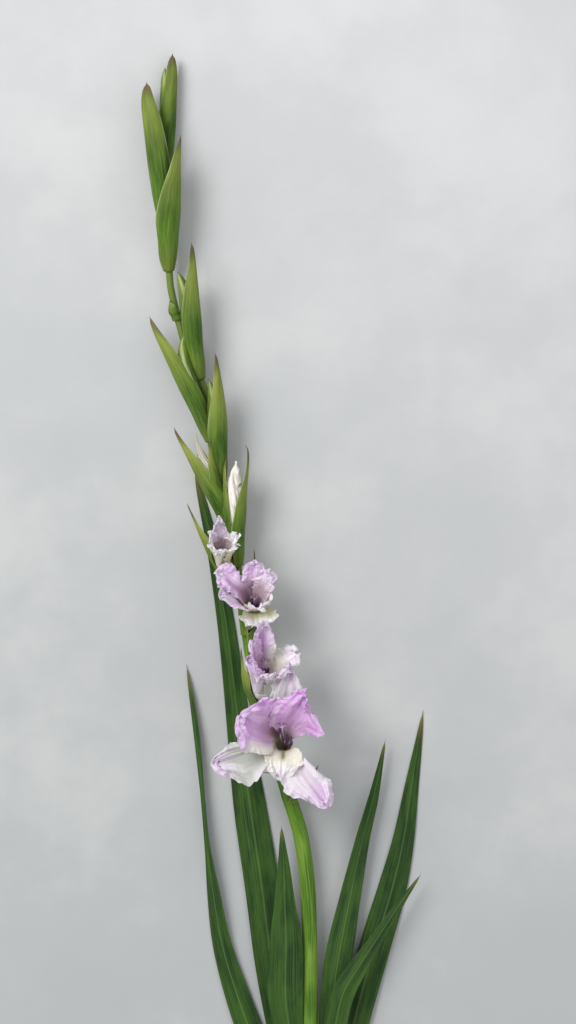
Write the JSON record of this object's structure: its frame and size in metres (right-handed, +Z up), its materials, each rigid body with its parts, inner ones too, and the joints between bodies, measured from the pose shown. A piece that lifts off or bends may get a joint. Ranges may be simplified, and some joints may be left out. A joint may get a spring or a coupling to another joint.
{
  "type": "gladiolus stem",
  "caption": "Cut gladiolus stem lying on a surface: a flower spike with ruffled lilac and white blooms, green buds in pointed bracts, and sword leaves sheathing its base.",
  "frame": {"origin": "middle of the small flat spot under the leaf bases near the cut end, on the surface that the stem lies on", "axes": "+Y along the stem towards its tip, +Z up from the surface towards the open blooms, +X to the right seen from above"},
  "size_m": [0.1979, 0.8866, 0.0771],
  "materials": {
    "stalk": "smooth fresh green stalk, satin",
    "leaf": "ribbed green leaf, satin",
    "bract": "green bract with a brown tip, satin",
    "petal": "soft thin petal, lilac to white, matt",
    "stamen": "dark purple anthers, matt",
    "style": "pale lilac style, matt"
  },
  "bodies": {
    "root": {"scape": "stalk", "leaf_1": "leaf", "leaf_2": "leaf", "leaf_3": "leaf", "leaf_4": "leaf", "leaf_5": "leaf", "leaf_6": "leaf", "floret_1_perianth": "petal", "floret_1_stamens": "stamen", "floret_1_style": "style", "floret_2_perianth": "petal", "floret_2_stamens": "stamen", "floret_2_style": "style", "floret_3_perianth": "petal", "floret_3_stamens": "stamen", "floret_3_style": "style", "floret_4_perianth": "petal", "floret_1_outer_bract": "bract", "floret_1_inner_bract": "bract", "floret_2_outer_bract": "bract", "floret_2_inner_bract": "bract", "floret_3_outer_bract": "bract", "floret_3_inner_bract": "bract", "floret_4_outer_bract": "bract", "floret_4_inner_bract": "bract", "bud_5_outer_bract": "bract", "bud_5_inner_bract": "bract", "bud_6_outer_bract": "bract", "bud_6_inner_bract": "bract", "bud_7_outer_bract": "bract", "bud_7_inner_bract": "bract", "bud_8_outer_bract": "bract", "bud_8_inner_bract": "bract", "bud_9_outer_bract": "bract", "bud_9_inner_bract": "bract", "bud_10_outer_bract": "bract", "bud_10_inner_bract": "bract", "bud_11_outer_bract": "bract", "bud_11_inner_bract": "bract", "bud_12_outer_bract": "bract", "bud_12_inner_bract": "bract", "bud_5_petals": "petal", "bud_6_petals": "petal", "stub_bract": "bract"}
  },
  "joints": []
}
